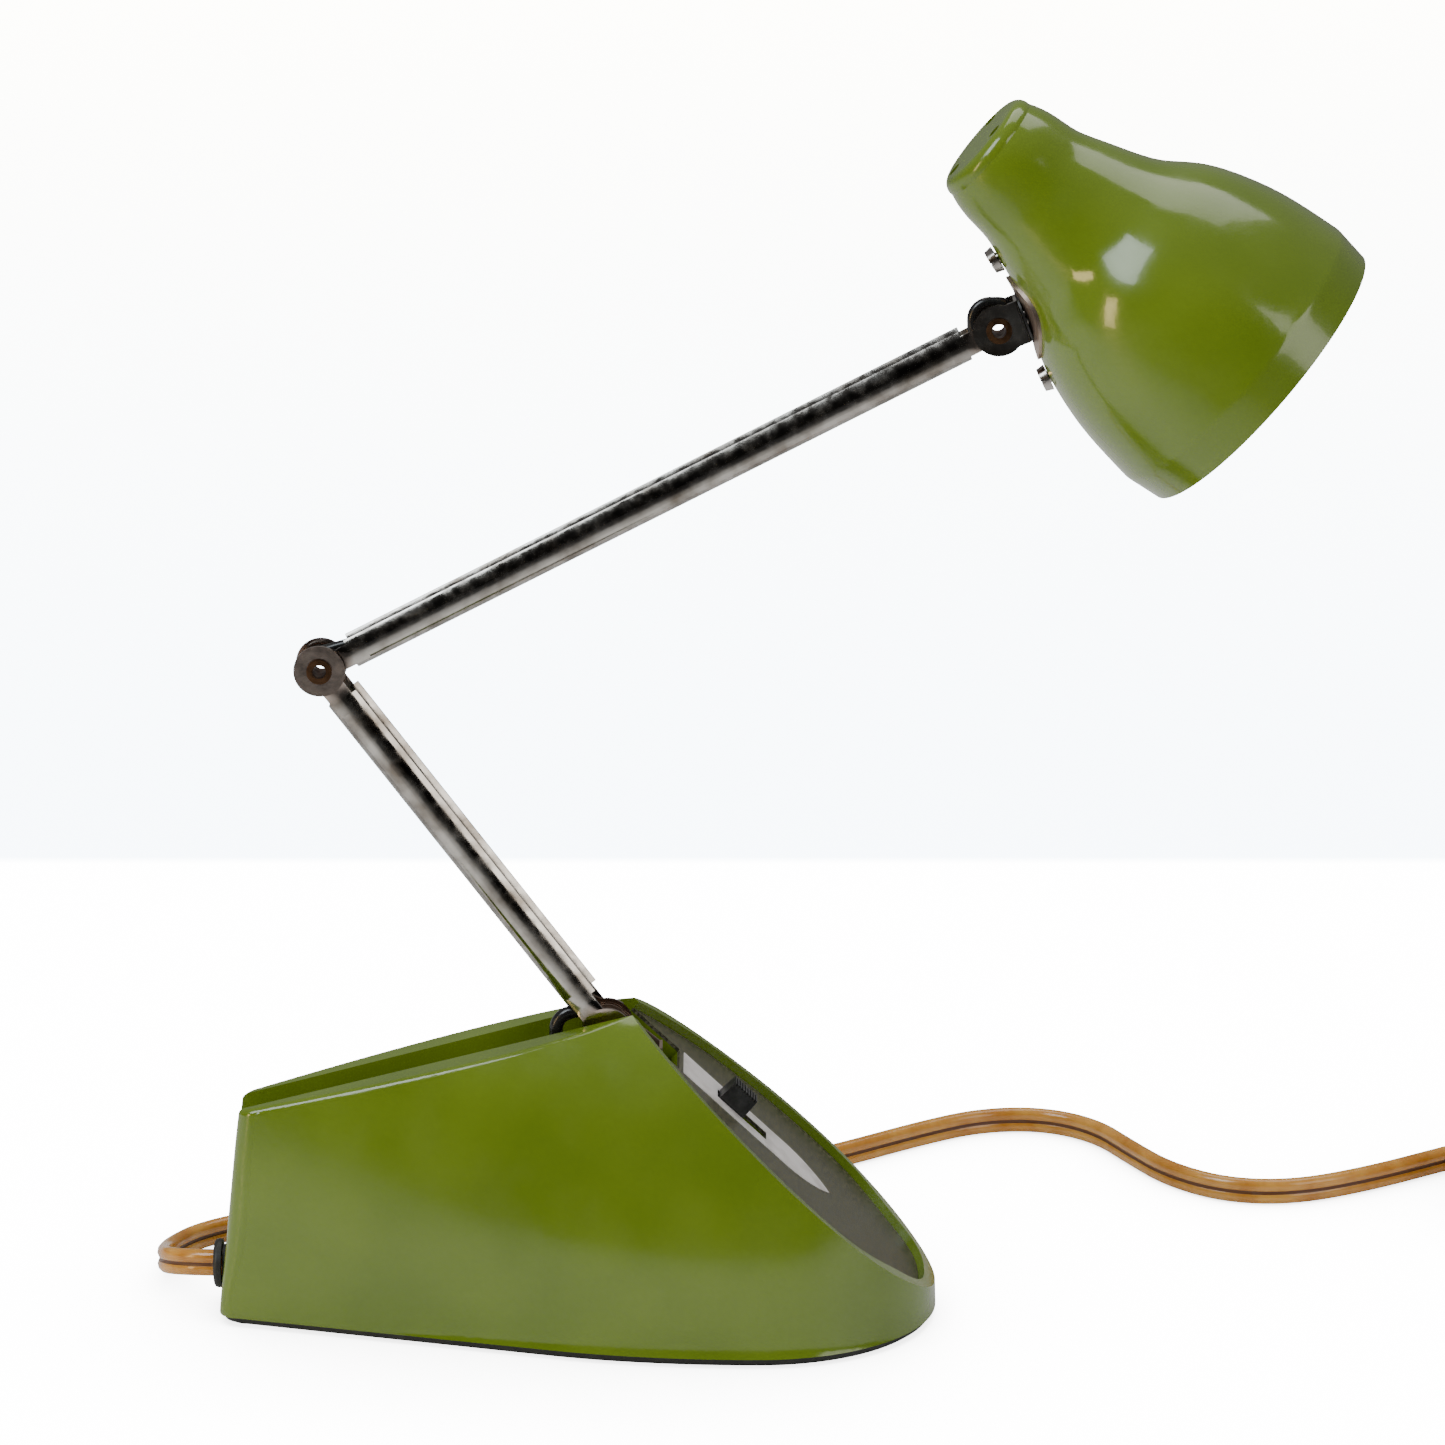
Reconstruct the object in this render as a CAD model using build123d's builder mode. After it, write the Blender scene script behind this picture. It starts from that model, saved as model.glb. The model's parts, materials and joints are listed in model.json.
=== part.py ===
from build123d import *
import math
import os

os.makedirs("parts", exist_ok=True)

# Folding desk lamp on a wedge base, in millimetres.
# +X points to the nose of the base, +Z up, and the origin is the centre of the base's underside.

# Base shell
rear_x = -85.8            # rear wall at the table
rear_lean = 0.109         # how far the rear wall leans in for each mm of height
nose_x = 84.3
dome_height = 78.0        # height at which the side walls would meet
wall = 2.2
shell_bottom = 2.4
rear_half_width = 11.0
shell_levels = [shell_bottom, 20.0, 36.0, 50.0, 61.0, 69.0, 74.0, 77.2]
flare_end = (-8.0, 29.4)  # where the straight sides start to curve in, seen from above
widest = (42.0, 35.4)
nose_draft = 0.03

# Ridge and slanted face
ridge_slope = math.radians(14.5)
ridge_height = 73.4       # ridge height above the origin
face_slope = math.radians(43.7)
face_start = (24.0, 62.9)  # top of the label, on the panel's surface
rim_height = 2.0          # rim above the panel
panel_thickness = 0.8
face_floor = 2.0

# Slot for the folded arm
slot_plan = [(-110.0, 4.5), (60.0, 7.1)]   # x and half width
slot_end_x = 23.4
slot_depth = 11.8
pocket_floor = 52.0
pocket_rear_x = -8.0
slot_skin = 2.8

# Arms: the three pivots lie in the lamp's middle plane
shoulder = (6.5, 71.4)
elbow = (-58.7, 159.0)
head = (95.5, 238.3)
arm_half_width = 4.0      # lower arm and every outer ear
arm_sheet = 0.7
lower_height = 8.1
upper_half_width = 2.95   # upper arm nests inside the lower arm's channel
upper_height = 7.5
upper_sheet = 0.65
ear_radius = 5.95
inner_ear_radius = 4.8
washer_radius = 4.6
washer_thickness = 0.3
eyelet_radius = 2.1
eyelet_bore = 1.6
eyelet_flange = 2.9
running_gap = 0.05
lead_radius = 1.6

# Shade: distance along its axis from the cap, and outer radius
cap_centre = (90.7, 280.7)
shade_angle = math.radians(-40.05)
shade_profile = [(3.2, 13.2), (9.0, 14.8), (15.0, 15.5), (21.5, 17.6), (28.8, 20.2), (34.5, 22.8),
                 (41.1, 27.4), (52.3, 32.3), (63.5, 35.0), (74.0, 36.3), (83.2, 35.4)]
cap_radius = 10.2
vent_radius = 1.65
vent_circle = 8.6
shade_wall = 0.9
shade_length = 83.2

# Head swivel: axis through the head pivot, square to the wall between the two screws
swivel_angle = math.radians(21.6)
web_inner = 5.35          # distance from the head pivot along the swivel axis
web_outer = 6.05
plate_radius = 10.0
shade_screw_seats = [(20.6, 17.3, 17.0), (47.2, 30.4, 24.0)]  # along the axis, radius, lean of the wall

# Power cord
cord_diameter = 6.6
cord_exit_height = 12.0
cord_exit = [(-82.2, 0, 12), (-90.5, 0.5, 11.9), (-98.0, 5.0, 10.4), (-101.2, 14.5, 7.2),
             (-100.8, 27.0, 4.3), (-94.5, 39.5, 3.3)]
cord_behind = [(-78, 49, 3.3), (-48, 53.5, 3.3), (-12, 58, 3.3), (26, 69, 3.3), (60, 90, 3.3)]
cord_bow = [(87.5, 110.3, 3.3), (102, 118, 3.3), (117.5, 118.5, 3.3), (130.5, 110, 3.3), (138, 95, 3.3),
            (146.5, 79.5, 3.3), (160, 68.5, 3.3), (177, 67.2, 3.3), (197, 76.5, 3.3), (219, 91, 3.3), (233.2, 99.5, 3.3)]
coil_centre = (270.2, 70.4)
coil_radius = 36.8        # middle of the turns
coil_column = 6.8         # from one turn to the next one out
coil_height = 13.3
tail_length = 17.0


def direction(angle):
    return (math.cos(angle), 0.0, math.sin(angle))


def spot(pivot):
    return (pivot[0], 0.0, pivot[1])


def side_plane(pivot, angle):
    """Plane of the lamp's middle, local x along the angle, local y a quarter turn on, z towards -Y."""
    return Plane(origin=spot(pivot), x_dir=direction(angle), z_dir=(0, -1, 0))


def reach(pivot, angle, along, across):
    """Point at a distance along an angle from a pivot, and across it, in X and Z."""
    c = math.cos(angle)
    s = math.sin(angle)
    return (pivot[0] + along * c - across * s, pivot[1] + along * s + across * c)


def angle_between(start, end):
    return math.atan2(end[1] - start[1], end[0] - start[0])


def ridge_at(x):
    return ridge_height + math.tan(ridge_slope) * x


def finish(part, name):
    part.label = name
    export_step(part, "parts/" + name + ".step")


lower_angle = angle_between(shoulder, elbow)
lower_length = math.dist(shoulder, elbow)
upper_angle = angle_between(elbow, head)
upper_length = math.dist(elbow, head)
ridge_plane = Plane(
    origin=(0, 0, ridge_height), x_dir=direction(ridge_slope), z_dir=direction(ridge_slope + math.pi / 2))
face_normal = math.pi / 2 - face_slope
face_plane = Plane(origin=spot(face_start), x_dir=direction(-face_slope), z_dir=direction(face_normal))
shade_plane = side_plane(cap_centre, shade_angle)
shade_axis = Axis(origin=spot(cap_centre), direction=direction(shade_angle))

swivel_axis = Axis(origin=spot(head), direction=direction(swivel_angle))


def swivel_plane(distance):
    """Plane square to the swivel axis, local x along Y, at a distance from the head pivot."""
    origin = reach(head, swivel_angle, distance, 0)
    return Plane(origin=spot(origin), x_dir=(0, 1, 0), z_dir=direction(swivel_angle))


# ---------------------------------------------------------------- shapes shared by the base's pieces


def half_outline(height, inset):
    """Far half of the base's plan at a height: flat rear, straight flaring side and an elliptical nose."""
    narrowing = math.sqrt(1 - (height / dome_height) ** 2)
    rear = rear_x + rear_lean * height + inset
    nose = nose_x - nose_draft * height - inset
    rear_y = rear_half_width * narrowing - inset
    flare_y = flare_end[1] * narrowing - inset
    widest_y = widest[1] * narrowing - inset
    corner = min(4.5, 0.6 * rear_y)
    flare = (flare_end[0] - rear - corner, flare_y - rear_y)
    with BuildSketch(Plane.XY.offset(height)) as outline:
        with BuildLine():
            Line((rear, 0), (rear, rear_y - corner))
            ThreePointArc((rear, rear_y - corner), (rear + 0.3 * corner, rear_y - 0.3 * corner), (rear + corner, rear_y))
            Line((rear + corner, rear_y), (flare_end[0], flare_y))
            Spline((flare_end[0], flare_y), (widest[0], widest_y), tangents=[flare, (1, 0)])
            EllipticalCenterArc((widest[0], 0), nose - widest[0], widest_y, 0, arc_size=90)
            Line((nose, 0), (rear, 0))
        make_face()
    return outline.sketch


def base_block(levels, inset):
    """Solid block of the base's shape, drawn in from its sides by an inset."""
    with BuildPart() as block:
        for level in levels:
            add(half_outline(level, inset))
        loft()
        mirror(about=Plane.XZ)
    return block.part


def base_sheet(height, inset, thickness):
    """Flat sheet of the base's outline."""
    with BuildPart() as sheet:
        add(half_outline(height, inset))
        extrude(amount=thickness)
        mirror(about=Plane.XZ)
    return sheet.part


def space_above(plane, height):
    """Block of everything above a plane."""
    with BuildPart() as block:
        with BuildSketch(plane.offset(height)):
            Rectangle(400, 200)
        extrude(amount=120)
    return block.part


def slot_solid(skin):
    """The arm's slot: tapered in plan, sloping floor, and a deeper pocket for the pivot bracket."""
    rear, front = slot_plan
    floor_rear = ridge_at(rear[0]) - slot_depth - skin
    floor_front = ridge_at(pocket_rear_x - skin) - slot_depth - skin
    pocket_z = pocket_floor - skin
    end = reach((slot_end_x, face_start[1] + 0.57), face_normal, -panel_thickness - face_floor, 0)
    top = reach(end, face_normal, 45, 0)
    with BuildPart() as solid:
        with BuildSketch(Plane.XZ):
            with BuildLine():
                Polyline(
                    (rear[0], floor_rear), (pocket_rear_x - skin, floor_front), (pocket_rear_x - skin, pocket_z),
                    (end[0] + skin, pocket_z), (end[0] + skin, end[1]), (top[0] + skin, top[1]),
                    (rear[0], top[1]), close=True)
            make_face()
        extrude(amount=12, both=True)
        with BuildSketch(Plane.XY):
            with BuildLine():
                Polyline(
                    (rear[0], -rear[1] - skin), (front[0], -front[1] - skin),
                    (front[0], front[1] + skin), (rear[0], rear[1] + skin), close=True)
            make_face()
        extrude(amount=130, mode=Mode.INTERSECT)
    return solid.part


def panel_outline(inset):
    """Outline of the recessed panel, drawn on the face plane from the apex down to the nose."""
    side = [(-17, 5.4), (-6.2, 13.6), (5.9, 20.2), (20.2, 24.9), (40.2, 27.6), (57, 24.7), (68, 17.4)]
    near = [(x, y - inset) for x, y in side] + [(77.5 - inset, 0)]
    far = [(x, -y) for x, y in near]
    with BuildSketch(face_plane.offset(-panel_thickness)) as outline:
        with BuildLine():
            Spline(near, tangents=[(0.7, 0.7), (0, -1)])
            Spline(far, tangents=[(0.7, -0.7), (0, 1)])
            Line(near[0], far[0])
        make_face()
    return outline.sketch


def knob_window(amount):
    """Window for the sliding knob, cut downwards from just above the panel."""
    with BuildPart() as window:
        with BuildSketch(face_plane.offset(1)):
            with Locations((19.4, 0)):
                Rectangle(15.9, 4.9)
        extrude(amount=-amount)
    return window.part


# ---------------------------------------------------------------- base shell

ridge_rounding = 1.6
boss_spots = [(-68.0, 0.0), (62.0, 17.0), (62.0, -17.0)]
lead_hole = (-4.5, 0.0)

with BuildPart() as hollow:
    add(base_block([0.0] + shell_levels[1:-1], wall))
    add(space_above(ridge_plane, -wall), mode=Mode.SUBTRACT)
    add(space_above(face_plane, -panel_thickness - face_floor), mode=Mode.SUBTRACT)
    add(slot_solid(slot_skin), mode=Mode.SUBTRACT)
    with BuildSketch(Plane.XY):
        with Locations(*boss_spots):
            Circle(3.4)
    extrude(amount=80, mode=Mode.SUBTRACT)

with BuildPart() as base_shell:
    add(base_block(shell_levels, 0))
    add(space_above(ridge_plane, 0), mode=Mode.SUBTRACT)
    ridge_edges = base_shell.faces().filter_by(ridge_plane).edges()
    fillet(ridge_edges.filter_by(lambda edge: abs(edge.center().Y) > 0.5), ridge_rounding)
    add(space_above(face_plane, rim_height), mode=Mode.SUBTRACT)
    add(hollow.part, mode=Mode.SUBTRACT)
    add(slot_solid(0), mode=Mode.SUBTRACT)
    add(panel_outline(0))
    extrude(amount=30, dir=face_plane.z_dir, mode=Mode.SUBTRACT)
    add(knob_window(8), mode=Mode.SUBTRACT)
    with BuildSketch(Plane.XY.offset(shell_bottom)):
        with Locations(*boss_spots):
            Circle(1.4)
    extrude(amount=12, mode=Mode.SUBTRACT)
    with BuildSketch(Plane.YZ.offset(rear_x - 2)):
        with Locations((0, cord_exit_height)):
            Circle(4.6)
    extrude(amount=9, mode=Mode.SUBTRACT)
    with BuildSketch(Plane.XY.offset(pocket_floor + 1)):
        with Locations(lead_hole):
            Circle(2.0)
    extrude(amount=-6, mode=Mode.SUBTRACT)

with BuildPart() as face_panel:
    add(panel_outline(0.05))
    extrude(amount=panel_thickness, dir=face_plane.z_dir)
    add(slot_solid(0), mode=Mode.SUBTRACT)
    add(space_above(ridge_plane, 0), mode=Mode.SUBTRACT)
    add(knob_window(8), mode=Mode.SUBTRACT)

label_half_width = 6.85
label_end = 47.9

with BuildPart() as label_strip:
    with BuildSketch(face_plane):
        with BuildLine():
            Line((0.5, -label_half_width), (0.5, label_half_width))
            Line((0.5, label_half_width), (34.0, label_half_width))
            ThreePointArc((34.0, label_half_width), (42.6, 4.4), (label_end, 0))
            ThreePointArc((label_end, 0), (42.6, -4.4), (34.0, -label_half_width))
            Line((34.0, -label_half_width), (0.5, -label_half_width))
        make_face()
    extrude(amount=0.15)
    add(knob_window(8), mode=Mode.SUBTRACT)

# ---------------------------------------------------------------- underside

with BuildPart() as bottom_plate:
    add(base_sheet(0.8, 1.3, shell_bottom - 0.8))
    with BuildSketch(Plane.XY.offset(0.8)):
        with Locations(*boss_spots):
            Circle(1.6)
    extrude(amount=4, mode=Mode.SUBTRACT)
    with BuildSketch(Plane.XY.offset(0.8)):
        with Locations(*boss_spots):
            Circle(3.2)
    extrude(amount=0.8, mode=Mode.SUBTRACT)

with BuildPart() as base_pad:
    add(base_sheet(0.0, 2.4, 0.8))
    with BuildSketch(Plane.XY):
        with Locations(*boss_spots):
            Circle(3.4)
    extrude(amount=2, mode=Mode.SUBTRACT)

with BuildPart() as bottom_screws:
    with BuildSketch(Plane.XY.offset(0.7)):
        with Locations(*boss_spots):
            Circle(3.0)
    extrude(amount=0.9)
    with BuildSketch(Plane.XY.offset(1.6)):
        with Locations(*boss_spots):
            Circle(1.38)
    extrude(amount=9)
    with BuildSketch(Plane.XY.offset(0.7)):
        with Locations(*boss_spots):
            Rectangle(4.4, 0.7)
    extrude(amount=0.5, mode=Mode.SUBTRACT)

# ---------------------------------------------------------------- electrics in the base

core_x = 29.0
core_length = 36.0
core_bottom = 2.5
core_top = 30.5
strap_half = core_length / 2 + 0.05

with BuildPart() as transformer_core:
    with Locations((core_x, 0, core_bottom)):
        Box(core_length, 18, core_top - core_bottom, align=(Align.CENTER, Align.CENTER, Align.MIN))
    with Locations((core_x - 9, 0, 16.5), (core_x + 9, 0, 16.5)):
        Box(6, 20, 16, mode=Mode.SUBTRACT)

with BuildPart() as transformer_coil:
    with Locations((core_x, 0, 16.5)):
        Box(23.6, 28, 15.6)
        Box(12.1, 18.1, 15.6, mode=Mode.SUBTRACT)
    fillet(transformer_coil.edges().filter_by(Axis.Z).group_by(Axis.Y)[0], 3)
    fillet(transformer_coil.edges().filter_by(Axis.Z).group_by(Axis.Y)[-1], 3)

with BuildPart() as transformer_strap:
    with Locations((core_x, 0, shell_bottom)):
        Box(2 * strap_half + 1.6, 14, core_top + 0.9 - shell_bottom, align=(Align.CENTER, Align.CENTER, Align.MIN))
        Box(2 * strap_half + 13, 14, 0.8, align=(Align.CENTER, Align.CENTER, Align.MIN))
    with Locations((core_x, 0, 0)):
        Box(2 * strap_half, 16, core_top + 0.05, align=(Align.CENTER, Align.CENTER, Align.MIN), mode=Mode.SUBTRACT)

with BuildPart() as strap_screws:
    with BuildSketch(Plane.XY.offset(shell_bottom + 0.8)):
        with Locations((core_x - strap_half - 3.9, 0), (core_x + strap_half + 3.9, 0)):
            Circle(2.4)
    extrude(amount=1.6)
    fillet(strap_screws.faces().sort_by(Axis.Z)[-2:].edges(), 0.8)

with BuildPart() as switch_body:
    with BuildSketch(face_plane.offset(-panel_thickness - face_floor)):
        with Locations((21.4, 0)):
            Rectangle(22.6, 10)
    extrude(amount=-7)
    with BuildSketch(face_plane.offset(-panel_thickness - face_floor)):
        with Locations((19.4, 0)):
            Rectangle(16.4, 5.2)
    extrude(amount=-3.4, mode=Mode.SUBTRACT)

knob_start = 12.0
knob_length = 7.5
knob_width = 5.3
knob_height = 5.5
knob_ribs = 9

with BuildPart() as switch_knob:
    with BuildSketch(face_plane.offset(0.3)):
        with Locations((knob_start + knob_length / 2, 0)):
            Rectangle(knob_length, knob_width)
    extrude(amount=knob_height - 0.3, taper=3)
    with BuildSketch(face_plane.offset(knob_height)):
        with Locations((knob_start + knob_length / 2, 0)):
            with GridLocations(knob_length / knob_ribs, 0, knob_ribs - 1, 1):
                Rectangle(0.3, 8)
    extrude(amount=-0.5, mode=Mode.SUBTRACT)
    with BuildSketch(face_plane.offset(0.3)):
        with Locations((knob_start + knob_length / 2, 0)):
            Rectangle(knob_length - 0.6, 4.5)
    extrude(amount=-5.6)

with BuildPart() as cord_grommet:
    with BuildSketch(Plane.YZ.offset(-81.5)):
        with Locations((0, cord_exit_height)):
            Circle(4.55)
    extrude(amount=-3.5)
    with BuildSketch(Plane.YZ.offset(-85.2)):
        with Locations((0, cord_exit_height)):
            Circle(5.8)
    extrude(amount=-1.9)
    fillet(cord_grommet.edges().group_by(Axis.X)[0], 1.0)
    with BuildSketch(Plane.YZ.offset(-80)):
        with Locations((0, cord_exit_height)):
            Circle(cord_diameter / 2 + 0.05)
    extrude(amount=-10, mode=Mode.SUBTRACT)


def tube(points, radii, radius):
    """Round lead along straight runs joined by arcs."""
    with BuildPart() as lead:
        with BuildLine() as route:
            FilletPolyline(*points, radius=radii)
        with BuildSketch(Plane(origin=route.wire() @ 0, z_dir=route.wire() % 0)):
            Circle(radius)
        sweep()
    return lead.part


def in_middle(points):
    return [(x, 0, z) for x, z in points]


with BuildPart() as mains_lead:
    add(tube([
        (-81.9, 0, 12), (-76.5, 0, 12), (-70, 6.3, 12.5), (-58, 6.3, 14), (-40, 2, 20), (6, 0, 22)],
        (3, 4, 8, 12), 1.8))

with BuildPart() as secondary_lead:
    add(tube(in_middle([(-4.5, 55.5), (-4.5, 42), (4, 34), (13, 34)]), 5, 1.5))

# ---------------------------------------------------------------- pivots

cheek_outer = upper_half_width
cheek_inner = cheek_outer - upper_sheet

with BuildPart() as pivot_bracket:
    with BuildSketch(Plane.XZ):
        with BuildLine():
            Polyline(
                (-1.0, pocket_floor), (19.4, pocket_floor), (19.4, 67.2), (18.7, 67.2), (10.0, 74.5), (3.0, 72.0),
                close=True)
        make_face()
        with Locations(shoulder):
            Circle(inner_ear_radius)
    extrude(amount=cheek_outer, both=True)
    with BuildSketch(Plane.XZ):
        with Locations((3.7, 75)):
            Rectangle(30, 44.4)
    extrude(amount=cheek_inner, both=True, mode=Mode.SUBTRACT)
    with BuildSketch(Plane.XZ):
        with Locations(shoulder):
            Circle(eyelet_radius)
    extrude(amount=9, both=True, mode=Mode.SUBTRACT)
    with BuildSketch(Plane.XY.offset(pocket_floor - 1)):
        with Locations(lead_hole):
            Circle(3.6)
    extrude(amount=3, mode=Mode.SUBTRACT)


def eyelet(pivot):
    """Hollow rivet through a pivot, with a flange outside each outer ear."""
    flange_start = arm_half_width + running_gap
    with BuildPart() as rivet:
        with BuildSketch(Plane.XZ):
            with Locations(pivot):
                Circle(eyelet_radius)
        extrude(amount=flange_start + 0.3, both=True)
        for side in (-1, 1):
            with BuildSketch(Plane.XZ.offset(side * flange_start)):
                with Locations(pivot):
                    Circle(eyelet_flange)
            extrude(amount=side * 0.5)
        with BuildSketch(Plane.XZ):
            with Locations(pivot):
                Circle(eyelet_bore)
        extrude(amount=12, both=True, mode=Mode.SUBTRACT)
    return rivet.part


def washers(pivot):
    """Pair of friction washers between the inner and the outer ears."""
    with BuildPart() as pair:
        for side in (-1, 1):
            with BuildSketch(Plane.XZ.offset(side * (upper_half_width + 0.02))):
                with Locations(pivot):
                    Circle(washer_radius)
                    Circle(eyelet_radius + running_gap, mode=Mode.SUBTRACT)
            extrude(amount=side * washer_thickness)
    return pair.part


with BuildPart() as shoulder_eyelet:
    add(eyelet(shoulder))

with BuildPart() as shoulder_washers:
    add(washers(shoulder))

with BuildPart() as elbow_eyelet:
    add(eyelet(elbow))

with BuildPart() as elbow_washers:
    add(washers(elbow))

with BuildPart() as head_eyelet:
    add(eyelet(head))

with BuildPart() as head_washers:
    add(washers(head))

# ---------------------------------------------------------------- arms


def channel(pivot, angle, first, last, half_width, height, sheet, open_side):
    """Straight U-channel between two distances from a pivot; open_side 1 opens towards local y."""
    mouth = open_side * height / 2
    origin = reach(pivot, angle, first, 0)
    plane = Plane(origin=spot(origin), x_dir=(0, 1, 0), z_dir=direction(angle))
    with BuildPart() as trough:
        for gap, mode in ((0, Mode.ADD), (sheet, Mode.SUBTRACT)):
            side = half_width - gap
            bottom = -mouth + open_side * gap
            with BuildSketch(plane):
                with BuildLine():
                    FilletPolyline((-side, mouth), (-side, bottom), (side, bottom), (side, mouth), radius=side - 0.6)
                    Line((side, mouth), (-side, mouth))
                make_face()
            extrude(amount=last - first, mode=mode)
    return trough.part


def ears(pivot, angle, radius, outer, sheet, bore, tongue, tongue_height):
    """Pair of round ears on a pivot with straight tongues along an angle."""
    with BuildPart() as pair:
        with BuildSketch(side_plane(pivot, angle)):
            Circle(radius)
            with Locations((tongue / 2, 0)):
                Rectangle(tongue, tongue_height)
        extrude(amount=outer, both=True)
        with BuildSketch(side_plane(pivot, angle)):
            Rectangle(4 * tongue, 4 * radius)
        extrude(amount=outer - sheet, both=True, mode=Mode.SUBTRACT)
        with BuildSketch(side_plane(pivot, angle)):
            Circle(bore)
        extrude(amount=outer + 2, both=True, mode=Mode.SUBTRACT)
    return pair.part


running_bore = eyelet_radius + running_gap

with BuildPart() as lower_arm:
    add(ears(shoulder, lower_angle, ear_radius, arm_half_width, arm_sheet, running_bore, 12, 5.6))
    add(ears(elbow, lower_angle + math.pi, ear_radius, arm_half_width, arm_sheet, eyelet_radius, 12, 5.6))
    add(channel(shoulder, lower_angle, 10.0, lower_length - 8.4, arm_half_width, lower_height, arm_sheet, -1))

with BuildPart() as upper_arm:
    add(ears(elbow, upper_angle, inner_ear_radius, upper_half_width, upper_sheet, running_bore, 12, 5.2))
    add(ears(head, upper_angle + math.pi, inner_ear_radius, upper_half_width, upper_sheet, eyelet_radius, 12, 5.2))
    add(channel(elbow, upper_angle, 8.2, upper_length - 8.4, upper_half_width, upper_height, upper_sheet, 1))

wire_radius = 1.3
lower_lane = 0.6          # how far the wires lie off the lower arm's middle, towards its closed side
upper_lane = -0.8         # the same in the upper arm

with BuildPart() as lower_wire:
    add(tube(in_middle([
        reach(shoulder, lower_angle, 18, 0),
        reach(shoulder, lower_angle, 50, lower_lane),
        reach(shoulder, lower_angle, lower_length - 18, lower_lane)]), 100, wire_radius))

with BuildPart() as upper_wire:
    add(tube(in_middle([
        reach(elbow, upper_angle, 18, upper_lane),
        reach(elbow, upper_angle, 80, upper_lane - 0.3),
        reach(elbow, upper_angle, upper_length - 19.6, upper_lane)]), 200, wire_radius))

loop_left = -5.5          # middle of the lead where it bows out of the slot
loop_top = 74.2

with BuildPart() as shoulder_lead:
    add(tube(in_middle([
        reach(shoulder, lower_angle, 17, -0.3),
        (2.5, 76.3),
        (loop_left, loop_top),
        (loop_left, 64.0),
        (-4.5, 60.5),
        (-4.5, 55.7)]), (2.2, 4.4, 4, 4), lead_radius))

with BuildPart() as elbow_lead:
    add(tube(in_middle([
        reach(elbow, lower_angle, -17, lower_lane),
        reach(elbow, lower_angle, -8.6, 1.9),
        reach(elbow, (lower_angle + upper_angle + math.pi) / 2, 7.2, 0),
        reach(elbow, upper_angle, 8.6, 1.9),
        reach(elbow, upper_angle, 17, upper_lane)]), (5, 3.5, 5), wire_radius))

with BuildPart() as head_lead:
    add(tube(in_middle([
        reach(elbow, upper_angle, upper_length - 19, upper_lane),
        reach(elbow, upper_angle, upper_length - 6.6, upper_lane + 0.3),
        (89.6, 244.0),
        (96.2, 244.0),
        reach(head, swivel_angle, 3.7, 3.2)]), (2.6, 3.8, 1.4), lead_radius - 0.3))

# ---------------------------------------------------------------- head bracket

with BuildPart() as head_clevis:
    with BuildSketch(side_plane(head, swivel_angle)):
        Circle(5.85)
        with Locations((web_outer / 2, 0)):
            Rectangle(web_outer, 10)
    extrude(amount=arm_half_width, both=True)
    bend_edges = head_clevis.edges().group_by(swivel_axis)[-1].sort_by(Axis.Y)
    fillet([bend_edges[0], bend_edges[-1]], 0.6)
    with BuildSketch(side_plane(head, swivel_angle)):
        with Locations((web_inner - 15, 0)):
            Rectangle(30, 30)
    extrude(amount=arm_half_width - arm_sheet, both=True, mode=Mode.SUBTRACT)
    with BuildSketch(side_plane(head, swivel_angle)):
        Circle(running_bore)
    extrude(amount=9, both=True, mode=Mode.SUBTRACT)
    with BuildSketch(swivel_plane(web_inner - 0.2)):
        Circle(2.9)
    extrude(amount=2, mode=Mode.SUBTRACT)

flange_radius = 3.2

with BuildPart() as swivel_rivet:
    with BuildSketch(swivel_plane(web_inner - 0.35)):
        Circle(flange_radius)
    extrude(amount=0.35)
    with BuildSketch(swivel_plane(web_inner)):
        Circle(2.9)
    extrude(amount=4.1)
    with BuildSketch(swivel_plane(web_inner + 3.8)):
        Circle(3.7)
    extrude(amount=0.4)
    with BuildSketch(swivel_plane(web_inner - 1)):
        Circle(2.2)
    extrude(amount=8, mode=Mode.SUBTRACT)

# ---------------------------------------------------------------- shade


def shade_solid(grow, start, end):
    """Solid of revolution of the shade's profile, grown or shrunk, between two distances from the cap."""
    points = [(t, r + grow) for t, r in shade_profile]
    first = points[0]
    cap = (-grow if grow < 0 else 0, cap_radius + 0.5 * grow)
    with BuildPart() as solid:
        with BuildSketch(shade_plane):
            with BuildLine():
                Line((cap[0], 0), cap)
                ThreePointArc(cap, (cap[0] + 0.28 * (first[0] - cap[0]), cap[1] + 0.74 * (first[1] - cap[1])), first)
                Spline(points, tangents=[(1, 0.42), (1, -0.12)])
                Polyline(points[-1], (shade_length, 0), (cap[0], 0))
            make_face()
        revolve(axis=shade_axis)
        with BuildSketch(Plane(origin=spot(reach(cap_centre, shade_angle, start, 0)), z_dir=direction(shade_angle))):
            Circle(60)
        extrude(amount=end - start, mode=Mode.INTERSECT)
    return solid.part


def wall_seat(seat):
    """Plane on the shade's outside, z outwards, at a screw's seat on the side of the head pivot."""
    along, radius, lean = seat
    origin = reach(cap_centre, shade_angle, along, -radius)
    return Plane(origin=spot(origin), x_dir=(0, 1, 0), z_dir=direction(shade_angle - math.radians(90 + lean)))


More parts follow.
